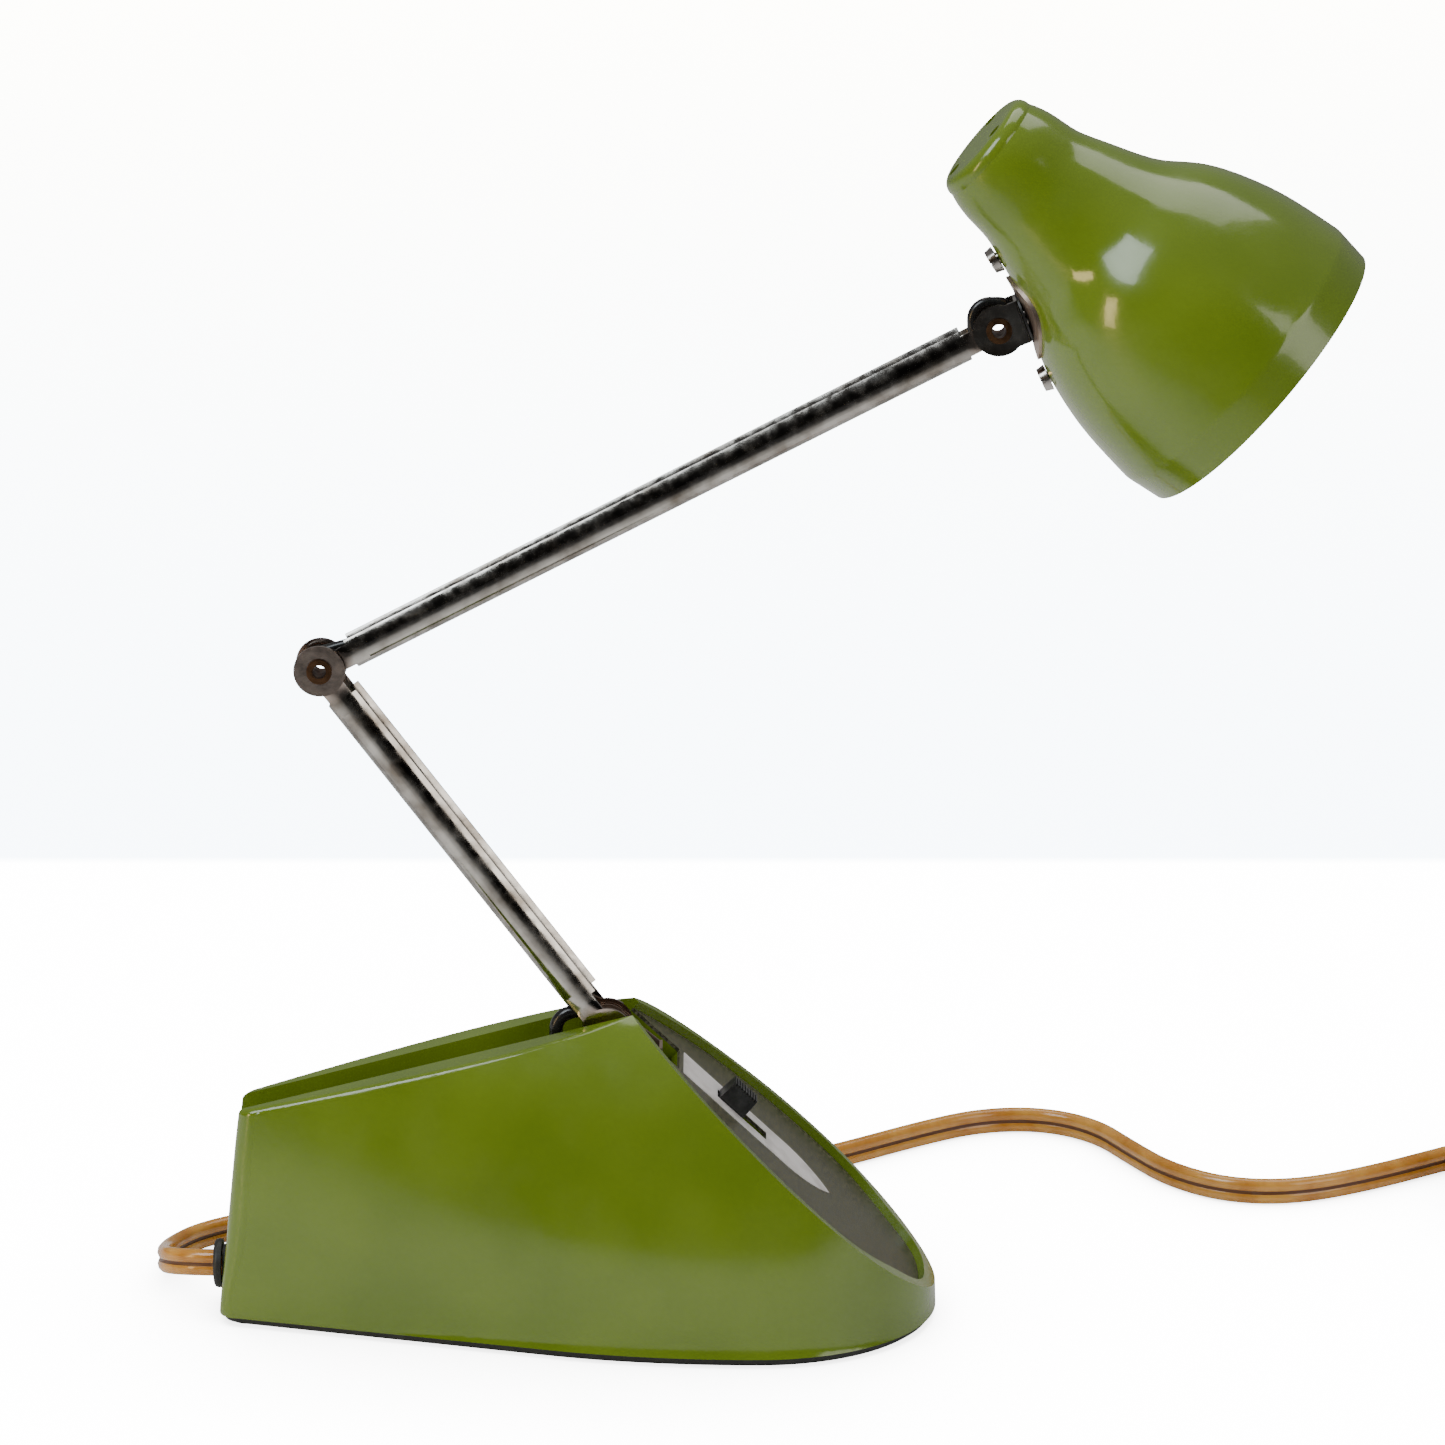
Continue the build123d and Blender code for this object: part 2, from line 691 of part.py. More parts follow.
with BuildPart() as shade:
    add(shade_solid(0, -1, shade_length + 1))
    add(shade_solid(-shade_wall, -1, shade_length + 1), mode=Mode.SUBTRACT)
    with BuildSketch(Plane(origin=spot(cap_centre), x_dir=direction(shade_angle - math.pi / 2),
                           z_dir=direction(shade_angle))):
        with PolarLocations(vent_circle, 3):
            Circle(vent_radius)
    extrude(amount=3, both=True, mode=Mode.SUBTRACT)
    with BuildSketch(swivel_plane(web_inner)):
        Circle(2.95)
    extrude(amount=7, mode=Mode.SUBTRACT)
    for seat in shade_screw_seats:
        with BuildSketch(wall_seat(seat).offset(3)):
            Circle(1.45)
        extrude(amount=-9, mode=Mode.SUBTRACT)

with BuildPart() as mounting_plate:
    add(shade_solid(0.9, 20, 52))
    add(shade_solid(0.02, -1, shade_length + 1), mode=Mode.SUBTRACT)
    with BuildSketch(swivel_plane(0)):
        Circle(plate_radius)
    extrude(amount=16, mode=Mode.INTERSECT)
    with BuildSketch(swivel_plane(web_inner)):
        Circle(2.95)
    extrude(amount=7, mode=Mode.SUBTRACT)

with BuildPart() as swivel_washer:
    with BuildSketch(swivel_plane(web_outer + 0.03)):
        Circle(6.4)
        Circle(2.95, mode=Mode.SUBTRACT)
    extrude(amount=0.5)
    add(shade_solid(0.95, -1, shade_length + 1), mode=Mode.SUBTRACT)

with BuildPart() as shade_screws:
    for seat in shade_screw_seats:
        with BuildSketch(wall_seat(seat).offset(0.25)):
            Circle(3.1)
        extrude(amount=1.9, taper=12)
        with BuildSketch(wall_seat(seat).offset(0.3)):
            Circle(1.4)
        extrude(amount=-5)
        with BuildSketch(wall_seat(seat).offset(2.2)):
            Rectangle(7, 0.7)
        extrude(amount=-0.9, mode=Mode.SUBTRACT)

socket_radius = 8.0
socket_plate = 24.0

with BuildPart() as socket_bracket:
    add(shade_solid(-shade_wall - 0.05, 14, 51))
    add(shade_solid(-shade_wall - 0.9, -1, shade_length + 1), mode=Mode.SUBTRACT)
    with BuildSketch(Plane(origin=spot(cap_centre), x_dir=(0, 1, 0), z_dir=direction(shade_angle))):
        with Locations((0, -25)):
            Rectangle(13, 50)
    extrude(amount=60, mode=Mode.INTERSECT)
    with BuildSketch(swivel_plane(web_inner)):
        Circle(4.6)
    extrude(amount=9, mode=Mode.SUBTRACT)
    for seat in shade_screw_seats:
        with BuildSketch(wall_seat(seat).offset(3)):
            Circle(1.42)
        extrude(amount=-9, mode=Mode.SUBTRACT)


def across_shade(along):
    """Plane square to the shade's axis, local x along Y, local y away from the head pivot's side."""
    origin = reach(cap_centre, shade_angle, along, 0)
    return Plane(origin=spot(origin), x_dir=(0, -1, 0), z_dir=direction(shade_angle))


with BuildPart() as socket:
    with BuildSketch(across_shade(8)):
        Circle(socket_radius)
    extrude(amount=24)
    with BuildSketch(across_shade(socket_plate + 1.1)):
        Circle(socket_radius + 2.5)
    extrude(amount=2)
    fillet(socket.edges().group_by(shade_axis)[0], 1.5)
    with BuildSketch(across_shade(16)):
        Circle(7.0)
    extrude(amount=20, mode=Mode.SUBTRACT)

with BuildPart() as socket_carrier:
    with BuildSketch(across_shade(socket_plate)):
        Circle(13.5)
        with Locations((0, -10)):
            Rectangle(12, 20)
    extrude(amount=1)
    add(shade_solid(-shade_wall - 1.0, -1, shade_length + 1), mode=Mode.INTERSECT)
    with BuildSketch(across_shade(socket_plate - 1)):
        Circle(socket_radius + 0.05)
    extrude(amount=3, mode=Mode.SUBTRACT)

with BuildPart() as bulb_base:
    with BuildSketch(across_shade(18)):
        Circle(6.9)
    extrude(amount=20)
    fillet(bulb_base.edges().group_by(shade_axis)[0], 1.2)

with BuildPart() as bulb_glass:
    with BuildSketch(shade_plane):
        with BuildLine():
            Line((38.02, 0), (38.02, 6.7))
            Spline((38.02, 6.7), (44, 8.6), (56, 13.0), (69, 0), tangents=[(1, 0), (0, -1)])
            Line((69, 0), (38.02, 0))
        make_face()
    revolve(axis=shade_axis)

with BuildPart() as lamp_lead:
    add(tube(in_middle([
        reach(cap_centre, shade_angle, 36.8, -17.6),
        reach(cap_centre, shade_angle, 37.6, -14.0),
        reach(cap_centre, shade_angle, 31.0, -11.6)]), 2, 1.0))

# ---------------------------------------------------------------- power cord


def cord_bends(points):
    """Radius of each arc along the cord: as large as the two runs beside it allow."""
    runs = [Vector(*b) - Vector(*a) for a, b in zip(points, points[1:])]
    bends = []
    for before, after in zip(runs, runs[1:]):
        shorter = min(before.length, after.length)
        half_turn = math.radians(before.get_angle(after)) / 2
        bends.append(0.45 * shorter / math.tan(half_turn))
    return bends


cord_route = cord_exit + cord_behind + cord_bow
cord_radii = cord_bends(cord_route)
print("cord radii in diameters:", [round(radius / cord_diameter, 1) for radius in cord_radii])

with BuildPart() as power_cord:
    with BuildLine() as cord_path:
        FilletPolyline(*cord_route, radius=cord_radii)
    with BuildSketch(Plane(origin=cord_route[0], z_dir=(-1, 0, 0))):
        Circle(cord_diameter / 2)
    sweep()

cord_length = cord_path.wire().length
cord_section = math.pi * cord_diameter ** 2 / 4
print("cord tube:", round(cord_length, 1), "volume ratio",
      round(power_cord.part.volume / (cord_section * cord_length), 4))

coil_outer = coil_radius + coil_column + cord_diameter / 2
coil_inner = coil_radius - coil_column - cord_diameter / 2

with BuildPart() as cord_coil:
    with BuildSketch():
        with Locations(coil_centre):
            Circle(coil_outer)
            Circle(coil_inner, mode=Mode.SUBTRACT)
    extrude(amount=coil_height)

tail_x = coil_centre[0] + coil_radius + coil_column
tail_start = coil_centre[1] - 16.0
plug_entry = tail_start - tail_length

with BuildPart() as cord_tail:
    with BuildSketch(Plane(origin=(tail_x, tail_start, cord_diameter / 2), z_dir=(0, -1, 0))):
        Circle(cord_diameter / 2)
    extrude(amount=tail_length)

with BuildPart() as coil_tie:
    with BuildSketch(Plane(
            origin=(coil_centre[0] - coil_radius, coil_centre[1], coil_height / 2), x_dir=(1, 0, 0), z_dir=(0, -1, 0))):
        with Locations((0, 0.5)):
            Rectangle(coil_outer - coil_inner + 2.4, coil_height + 1)
        Rectangle(coil_outer - coil_inner + 0.4, coil_height, mode=Mode.SUBTRACT)
    extrude(amount=2.5, both=True)

plug_length = 34.0
plug_width = 26.0
plug_height = 14.0
plug_neck = 16.0
blade_gap = 12.7
blade_length = 17.0



def across_plug(along):
    """Plane square to the plug, local x along X, at a distance from where the cord enters it."""
    return Plane(origin=(tail_x, plug_entry - along, plug_height / 2), x_dir=(1, 0, 0), z_dir=(0, -1, 0))


with BuildPart() as plug_body:
    with BuildSketch(across_plug(0)):
        with Locations((0, cord_diameter / 2 - plug_height / 2)):
            RectangleRounded(13, 6.5, 3)
    with BuildSketch(across_plug(plug_neck)):
        RectangleRounded(plug_width, plug_height, 4)
    loft()
    with BuildSketch(across_plug(plug_neck)):
        RectangleRounded(plug_width, plug_height, 4)
    extrude(amount=plug_length - plug_neck)

with BuildPart() as plug_blades:
    with BuildSketch(across_plug(plug_length)):
        with Locations((-blade_gap / 2, 0), (blade_gap / 2, 0)):
            Rectangle(1.5, 6.3)
    extrude(amount=blade_length)

# ---------------------------------------------------------------- files

finish(base_shell.part, "base_shell")
finish(face_panel.part, "face_panel")
finish(label_strip.part, "label_strip")
finish(bottom_plate.part, "bottom_plate")
finish(base_pad.part, "base_pad")
finish(bottom_screws.part, "bottom_screws")
finish(transformer_core.part, "transformer_core")
finish(transformer_coil.part, "transformer_coil")
finish(transformer_strap.part, "transformer_strap")
finish(strap_screws.part, "strap_screws")
finish(switch_body.part, "switch_body")
finish(switch_knob.part, "switch_knob")
finish(cord_grommet.part, "cord_grommet")
finish(mains_lead.part, "mains_lead")
finish(secondary_lead.part, "secondary_lead")
finish(pivot_bracket.part, "pivot_bracket")
finish(shoulder_eyelet.part, "shoulder_eyelet")
finish(shoulder_washers.part, "shoulder_washers")
finish(elbow_eyelet.part, "elbow_eyelet")
finish(elbow_washers.part, "elbow_washers")
finish(head_eyelet.part, "head_eyelet")
finish(head_washers.part, "head_washers")
finish(lower_arm.part, "lower_arm")
finish(upper_arm.part, "upper_arm")
finish(lower_wire.part, "lower_wire")
finish(upper_wire.part, "upper_wire")
finish(shoulder_lead.part, "shoulder_lead")
finish(elbow_lead.part, "elbow_lead")
finish(head_lead.part, "head_lead")
finish(head_clevis.part, "head_clevis")
finish(swivel_rivet.part, "swivel_rivet")
finish(swivel_washer.part, "swivel_washer")
finish(shade.part, "shade")
finish(mounting_plate.part, "mounting_plate")
finish(shade_screws.part, "shade_screws")
finish(socket_bracket.part, "socket_bracket")
finish(socket_carrier.part, "socket_carrier")
finish(socket.part, "socket")
finish(bulb_base.part, "bulb_base")
finish(bulb_glass.part, "bulb_glass")
finish(lamp_lead.part, "lamp_lead")
finish(power_cord.part, "power_cord")
finish(cord_coil.part, "cord_coil")
finish(cord_tail.part, "cord_tail")
finish(coil_tie.part, "coil_tie")
finish(plug_body.part, "plug_body")
finish(plug_blades.part, "plug_blades")
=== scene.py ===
"""Folding desk lamp: finishes and the loose cord, in metres."""
import json
import math

import bmesh
import bpy
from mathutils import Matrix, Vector


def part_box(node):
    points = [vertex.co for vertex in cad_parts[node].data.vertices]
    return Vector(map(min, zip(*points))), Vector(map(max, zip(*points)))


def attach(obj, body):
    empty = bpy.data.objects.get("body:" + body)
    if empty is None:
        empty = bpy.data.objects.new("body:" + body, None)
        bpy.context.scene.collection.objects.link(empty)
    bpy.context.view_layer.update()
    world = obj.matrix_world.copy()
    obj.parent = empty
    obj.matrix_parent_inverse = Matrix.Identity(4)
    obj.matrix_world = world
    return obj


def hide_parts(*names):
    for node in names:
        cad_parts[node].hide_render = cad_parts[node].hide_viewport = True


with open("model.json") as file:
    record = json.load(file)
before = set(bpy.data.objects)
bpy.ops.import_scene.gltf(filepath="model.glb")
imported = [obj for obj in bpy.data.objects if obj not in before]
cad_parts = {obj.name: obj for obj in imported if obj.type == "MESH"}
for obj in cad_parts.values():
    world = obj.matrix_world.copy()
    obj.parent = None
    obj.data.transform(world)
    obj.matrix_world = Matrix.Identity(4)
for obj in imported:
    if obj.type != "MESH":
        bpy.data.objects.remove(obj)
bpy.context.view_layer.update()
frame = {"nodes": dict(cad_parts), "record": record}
nodes = frame["nodes"]

MM = 0.001

SHOULDER = Vector((0.0065, 0, 0.0714))
ELBOW = Vector((-0.0587, 0, 0.1590))
HEAD = Vector((0.0955, 0, 0.2383))
ARM_HALF_DEPTH = 0.0036
EAR_STAIN = (0.0060, 0.0085)    # distance from a pivot where the brown stain starts to fade and ends
TABLE_EDGE = (0.345, 0.352)


# ---------------------------------------------------------------- camera and light


def look_from_the_front():
    """Long lens, a metre off, looking down a little on the lamp."""
    data = bpy.data.cameras.new("camera")
    camera = bpy.data.objects.new("camera", data)
    bpy.context.scene.collection.objects.link(camera)
    camera.location = (0.0335, -1.1, 0.4672)
    camera.rotation_euler = (math.radians(90 - 16.29), 0, 0)
    data.sensor_width = 36
    data.lens = 124.1
    data.clip_start = 0.05
    bpy.context.scene.camera = camera


def softbox(name, place, target, size, power, colour):
    data = bpy.data.lights.new(name, "AREA")
    data.shape = "RECTANGLE"
    data.size, data.size_y = size
    data.energy = power
    data.color = colour
    lamp = bpy.data.objects.new(name, data)
    lamp.location = place
    lamp.rotation_euler = (Vector(target) - Vector(place)).to_track_quat("-Z", "Y").to_euler()
    bpy.context.scene.collection.objects.link(lamp)


def studio():
    world = bpy.data.worlds.new("studio")
    bpy.context.scene.world = world
    world.use_nodes = True
    tree = world.node_tree
    place = tree.nodes.new("ShaderNodeTexCoord")
    facing = tree.nodes.new("ShaderNodeVectorMath")
    facing.operation = "DOT_PRODUCT"
    facing.inputs[1].default_value = (0, 0.5, 0.866)
    level = tree.nodes.new("ShaderNodeMapRange")
    level.interpolation_type = "SMOOTHSTEP"
    level.inputs["From Min"].default_value = -0.2
    level.inputs["From Max"].default_value = 0.8
    level.inputs["To Min"].default_value = 0.14
    level.inputs["To Max"].default_value = 4.6
    tree.links.new(place.outputs["Generated"], facing.inputs[0])
    tree.links.new(facing.outputs["Value"], level.inputs["Value"])
    tree.links.new(level.outputs["Result"], tree.nodes["Background"].inputs["Strength"])
    target = (0.02, 0, 0.12)
    softbox("window", (-0.9, -0.7, 1.3), target, (0.7, 0.9), 16, (0.86, 0.94, 1.0))
    softbox("ceiling", (0.2, 0.5, 1.6), target, (1.4, 1.0), 12, (1.0, 0.97, 0.93))
    softbox("warm", (-1.1, -0.75, 0.30), (0.11, 0, 0.24), (0.22, 0.5), 4, (1.0, 0.72, 0.36))
    softbox("fill", (1.1, -0.9, 0.7), target, (0.8, 0.8), 6, (1.0, 0.95, 0.88))


# ---------------------------------------------------------------- finishes


def finish(name, colour, roughness, metallic=0.0, coat=0.0):
    """New finish with the values that are the same all over, ready for its own pattern."""
    material = bpy.data.materials.new(name)
    material.use_nodes = True
    shader = material.node_tree.nodes["Principled BSDF"]
    shader.inputs["Base Color"].default_value = (*colour, 1)
    shader.inputs["Roughness"].default_value = roughness
    shader.inputs["Metallic"].default_value = metallic
    shader.inputs["Coat Weight"].default_value = coat
    shader.inputs["Coat Roughness"].default_value = 0.06
    return material, shader


def grain(material, size, detail=3.0, stretch=(1, 1, 1)):
    """Noise of a given grain, in metres, on the piece's own coordinates."""
    tree = material.node_tree
    place = tree.nodes.new("ShaderNodeTexCoord")
    mapping = tree.nodes.new("ShaderNodeMapping")
    mapping.inputs["Scale"].default_value = stretch
    noise = tree.nodes.new("ShaderNodeTexNoise")
    noise.inputs["Scale"].default_value = 1.0 / size
    noise.inputs["Detail"].default_value = detail
    tree.links.new(place.outputs["Object"], mapping.inputs["Vector"])
    tree.links.new(mapping.outputs["Vector"], noise.inputs["Vector"])
    return noise.outputs["Fac"]


def spread(material, value, low, high, between=(0.35, 0.65)):
    """Stretches a grain's middle values over a range of numbers."""
    scale = material.node_tree.nodes.new("ShaderNodeMapRange")
    scale.inputs["From Min"].default_value = between[0]
    scale.inputs["From Max"].default_value = between[1]
    scale.inputs["To Min"].default_value = low
    scale.inputs["To Max"].default_value = high
    material.node_tree.links.new(value, scale.inputs["Value"])
    return scale.outputs["Result"]


def two_colours(material, value, first, second):
    """Mixes two colours by a value from 0 to 1."""
    mix = material.node_tree.nodes.new("ShaderNodeMix")
    mix.data_type = "RGBA"
    mix.inputs["A"].default_value = (*first, 1)
    mix.inputs["B"].default_value = (*second, 1)
    material.node_tree.links.new(value, mix.inputs["Factor"])
    return mix.outputs["Result"]


def relief(material, shader, value, depth, strength=1.0):
    """Raises the surface by a value, over a depth in metres."""
    bump = material.node_tree.nodes.new("ShaderNodeBump")
    bump.inputs["Distance"].default_value = depth
    bump.inputs["Strength"].default_value = strength
    material.node_tree.links.new(value, bump.inputs["Height"])
    material.node_tree.links.new(bump.outputs["Normal"], shader.inputs["Normal"])


def green_enamel():
    """Thick olive stoving enamel: a faint orange peel and slow changes of shade."""
    material, shader = finish("green_enamel", (0.140, 0.215, 0.014), 0.2, coat=0.4)
    cloud = spread(material, grain(material, 0.035, 2), 0, 1)
    colour = two_colours(material, cloud, (0.125, 0.195, 0.012), (0.155, 0.235, 0.017))
    material.node_tree.links.new(colour, shader.inputs["Base Color"])
    dull = spread(material, grain(material, 0.012, 5), 0.11, 0.24)
    material.node_tree.links.new(dull, shader.inputs["Roughness"])
    relief(material, shader, grain(material, 0.0016, 2), 0.00004, 0.5)
    return material


def speckled_paint():
    """Grey-green hammered panel paint with dark and pale flecks."""
    material, shader = finish("speckled_paint", (0.075, 0.075, 0.042), 0.42)
    flecks = spread(material, grain(material, 0.0007, 4), 0, 1, (0.44, 0.58))
    colour = two_colours(material, flecks, (0.040, 0.041, 0.022), (0.130, 0.124, 0.078))
    material.node_tree.links.new(colour, shader.inputs["Base Color"])
    material.node_tree.links.new(spread(material, flecks, 0.34, 0.55, (0, 1)), shader.inputs["Roughness"])
    relief(material, shader, grain(material, 0.0006, 3), 0.00008, 0.6)
    return material


def label_film():
    """Off-white satin film, a little dirty."""
    material, shader = finish("label_film", (0.86, 0.83, 0.83), 0.3)
    dirt = spread(material, grain(material, 0.006, 6), 0, 1, (0.45, 0.75))
    colour = two_colours(material, dirt, (0.88, 0.85, 0.85), (0.62, 0.59, 0.57))
    material.node_tree.links.new(colour, shader.inputs["Base Color"])
    relief(material, shader, grain(material, 0.0008, 2), 0.00002, 0.4)
    return material


def nickel_plate():
    """Nickel on rolled steel: fine draw marks and cloudy tarnish."""
    material, shader = finish("nickel_plate", (0.50, 0.47, 0.43), 0.16, metallic=1.0)
    tarnish = spread(material, grain(material, 0.007, 6), 0, 1, (0.4, 0.7))
    colour = two_colours(material, tarnish, (0.56, 0.53, 0.49), (0.22, 0.19, 0.16))
    material.node_tree.links.new(colour, shader.inputs["Base Color"])
    dull = spread(material, grain(material, 0.003, 5), 0.08, 0.26)
    material.node_tree.links.new(dull, shader.inputs["Roughness"])
    relief(material, shader, grain(material, 0.0012, 4, (1, 3, 1)), 0.00003, 0.4)
    return material


def wired(material, kind, operation, first, second):
    """Math node of either kind; each input is a socket or a number that is the same all over."""
    node = material.node_tree.nodes.new(kind)
    node.operation = operation
    for socket, value in zip(node.inputs, (first, second)):
        if isinstance(value, bpy.types.NodeSocket):
            material.node_tree.links.new(value, socket)
        else:
            socket.default_value = value
    return node.outputs


def arm_plate(name, start, end):
    """Nickel on a flat arm side: relieved towards both edges as if rolled over, stained round both pivots."""
    material = nickel_plate()
    material.name = name
    tree = material.node_tree
    shader = tree.nodes["Principled BSDF"]
    along = (end - start).normalized()
    across = Vector((-along.z, 0, along.x))
    place = tree.nodes.new("ShaderNodeTexCoord").outputs["Object"]
    side_on = wired(material, "ShaderNodeVectorMath", "MULTIPLY", place, (1, 0, 1))["Vector"]
    reaches = [
        wired(material, "ShaderNodeVectorMath", "DISTANCE", side_on, pivot)["Value"] for pivot in (start, end)]
    nearest = wired(material, "ShaderNodeMath", "MINIMUM", *reaches)["Value"]
    worn = spread(material, nearest, 1, 0, EAR_STAIN)
    stained = two_colours(material, worn, (1, 1, 1), (0.56, 0.46, 0.40))
    plating = shader.inputs["Base Color"].links[0].from_socket
    tree.links.new(plating, stained.node.inputs["A"])
    tree.links.new(stained, shader.inputs["Base Color"])

    height = wired(material, "ShaderNodeVectorMath", "DOT_PRODUCT", place, across / ARM_HALF_DEPTH)["Value"]
    centred = wired(material, "ShaderNodeMath", "SUBTRACT", height, start.dot(across) / ARM_HALF_DEPTH)["Value"]
    square = wired(material, "ShaderNodeMath", "MULTIPLY", centred, centred)["Value"]
    fall = wired(material, "ShaderNodeMath", "MULTIPLY", square, spread(material, worn, -1, 0, (0, 1)))["Value"]
    draw_marks = shader.inputs["Normal"].links[0].from_socket
    relief(material, shader, fall, 0.30 * ARM_HALF_DEPTH)
    tree.links.new(draw_marks, shader.inputs["Normal"].links[0].from_node.inputs["Normal"])
    return material


def bronze_lacquer():
    """Brown lacquered steel of the pivot plates."""
    material, shader = finish("bronze_lacquer", (0.40, 0.31, 0.26), 0.36, metallic=0.9)
    cloud = spread(material, grain(material, 0.005, 5), 0, 1)
    colour = two_colours(material, cloud, (0.32, 0.24, 0.20), (0.48, 0.38, 0.31))
    material.node_tree.links.new(colour, shader.inputs["Base Color"])
    relief(material, shader, grain(material, 0.0009, 3), 0.00003, 0.5)
    return material


def moulded(name, colour, roughness, texture=0.0008):
    """Moulded plastic or rubber with a fine skin and a little dust."""
    material, shader = finish(name, colour, roughness)
    dust = spread(material, grain(material, 0.004, 6), 0, 1, (0.5, 0.8))
    pale = tuple(0.75 * channel + 0.03 for channel in colour)
    material.node_tree.links.new(two_colours(material, dust, colour, pale), shader.inputs["Base Color"])
    rough = spread(material, grain(material, 0.002, 4), roughness - 0.06, roughness + 0.1)
    material.node_tree.links.new(rough, shader.inputs["Roughness"])
    relief(material, shader, grain(material, texture, 3), 0.00004, 0.5)
    return material


def bare_metal(name, colour, roughness, streak=(1, 1, 1)):
    """Bare or lightly plated metal with fine scratches."""
    material, shader = finish(name, colour, roughness, metallic=1.0)
    rough = spread(material, grain(material, 0.002, 6, streak), roughness - 0.08, roughness + 0.14)
    material.node_tree.links.new(rough, shader.inputs["Roughness"])
    stain = spread(material, grain(material, 0.005, 4), 0, 1)
    darker = tuple(0.7 * channel for channel in colour)
    material.node_tree.links.new(two_colours(material, stain, colour, darker), shader.inputs["Base Color"])
    relief(material, shader, grain(material, 0.0006, 3, streak), 0.00002, 0.4)
    return material


def amber_vinyl():
    """Half-clear amber vinyl that glows where light passes through it."""
    material, shader = finish("amber_vinyl", (0.60, 0.27, 0.035), 0.2, coat=0.3)
    shader.inputs["Subsurface Weight"].default_value = 0.2
    shader.inputs["Subsurface Radius"].default_value = (0.004, 0.002, 0.0008)
    shader.inputs["Subsurface Scale"].default_value = 1.0
    cloud = spread(material, grain(material, 0.009, 4), 0, 1)
    colour = two_colours(material, cloud, (0.52, 0.21, 0.025), (0.72, 0.36, 0.07))
    material.node_tree.links.new(colour, shader.inputs["Base Color"])
    relief(material, shader, grain(material, 0.001, 3), 0.00003, 0.5)
    return material


def frosted_glass():
    """Thin opal glass of the lamp bulb."""
    material, shader = finish("frosted_glass", (0.93, 0.93, 0.90), 0.32)
    shader.inputs["Subsurface Weight"].default_value = 0.6
    shader.inputs["Subsurface Radius"].default_value = (0.01, 0.01, 0.01)
    rough = spread(material, grain(material, 0.002, 3), 0.25, 0.4)
    material.node_tree.links.new(rough, shader.inputs["Roughness"])
    relief(material, shader, grain(material, 0.0005, 3), 0.00002, 0.4)
    return material


def white_table():
    """Pale table top, over-lit to the eye by a glow that only camera rays see, with a painted soft contact
    shadow from ambient occlusion, a painted dark reflection where glossy rays meet its front, and a cooler
    stretch past its back edge.
    """
    material, shader = finish("white_table", (0.93, 0.93, 0.93), 0.5)
    tree = material.node_tree
    cloud = spread(material, grain(material, 0.3, 3), 0, 1)
    colour = two_colours(material, cloud, (0.92, 0.92, 0.93), (0.95, 0.945, 0.94))
    place = tree.nodes.new("ShaderNodeTexCoord")
    split = tree.nodes.new("ShaderNodeSeparateXYZ")
    tree.links.new(place.outputs["Object"], split.inputs["Vector"])
    depth = split.outputs["Y"]
    ray = tree.nodes.new("ShaderNodeLightPath")

    # Painted reflection: glossy rays see the table in front of the lamp nearly black, standing in for a dim room
    # mirrored in the lamp.
    painted_dark_reflection_zone = spread(material, depth, 1, 0, (-0.6, -0.12))
    painted_dark_reflection = wired(material, "ShaderNodeMath", "MULTIPLY", painted_dark_reflection_zone, ray.outputs["Is Glossy Ray"])["Value"]
    colour_with_painted_reflection = two_colours(material, painted_dark_reflection, (1, 1, 1), (0.05, 0.05, 0.05))
    tree.links.new(colour, colour_with_painted_reflection.node.inputs["A"])
    tree.links.new(colour_with_painted_reflection, shader.inputs["Base Color"])

    far = spread(material, depth, 0, 1, (0.36, 2.4))
    backdrop = two_colours(material, far, (0.52, 0.60, 0.68), (1.0, 0.95, 0.82))
    glow = two_colours(material, spread(material, depth, 0, 1, TABLE_EDGE), (1, 1, 1), (1, 1, 1))
    tree.links.new(backdrop, glow.node.inputs["B"])
    tree.links.new(glow, shader.inputs["Emission Color"])

    # Painted contact shadow: the camera-ray glow is dimmed by ambient occlusion near the lamp and the cord.
    near = tree.nodes.new("ShaderNodeAmbientOcclusion")
    near.inputs["Distance"].default_value = 0.07
    glow_with_painted_contact_shadow = spread(material, near.outputs["AO"], 4.0, 15.0, (0.3, 1))
    seen = wired(material, "ShaderNodeMath", "MULTIPLY", glow_with_painted_contact_shadow, ray.outputs["Is Camera Ray"])["Value"]
    tree.links.new(seen, shader.inputs["Emission Strength"])
    return material


# ---------------------------------------------------------------- table


def table():
    shape = bmesh.new()
    bmesh.ops.create_grid(shape, x_segments=1, y_segments=1, size=6)
    mesh = bpy.data.meshes.new("table")
    shape.to_mesh(mesh)
    shape.free()
    mesh.materials.append(white_table())
    top = bpy.data.objects.new("table", mesh)
    bpy.context.scene.collection.objects.link(top)


# ---------------------------------------------------------------- cord

CORD_WIDTH = 0.0066
CORD_THICKNESS = 0.0036
CORD_ROUTE = [
    (-82.2, 0, 12), (-90.5, 0.5, 11.9), (-98.0, 5.0, 10.4), (-101.2, 14.5, 7.2), (-100.8, 27.0, 4.3),
    (-94.5, 39.5, 3.3), (-78, 49, 3.3), (-48, 53.5, 3.3), (-12, 58, 3.3), (26, 69, 3.3), (60, 90, 3.3),
    (87.5, 110.3, 3.3), (102, 118, 3.3), (117.5, 118.5, 3.3), (130.5, 110, 3.3), (138, 95, 3.3),
    (146.5, 79.5, 3.3), (160, 68.5, 3.3), (177, 67.2, 3.3), (197, 76.5, 3.3), (219, 91, 3.3), (233.2, 99.5, 3.3)]
COIL_CENTRE = (270.2, 70.4)
COIL_RADII = (43.6, 36.8, 30.0)
COIL_FLOORS = (3.3, 10.0)
POINTS_PER_TURN = 16
CORE_POINTS = 9
COIL_START = math.radians(120.9)


def coil_place(radius, angle, height):
    return (COIL_CENTRE[0] + radius * math.cos(angle), COIL_CENTRE[1] + radius * math.sin(angle), height)


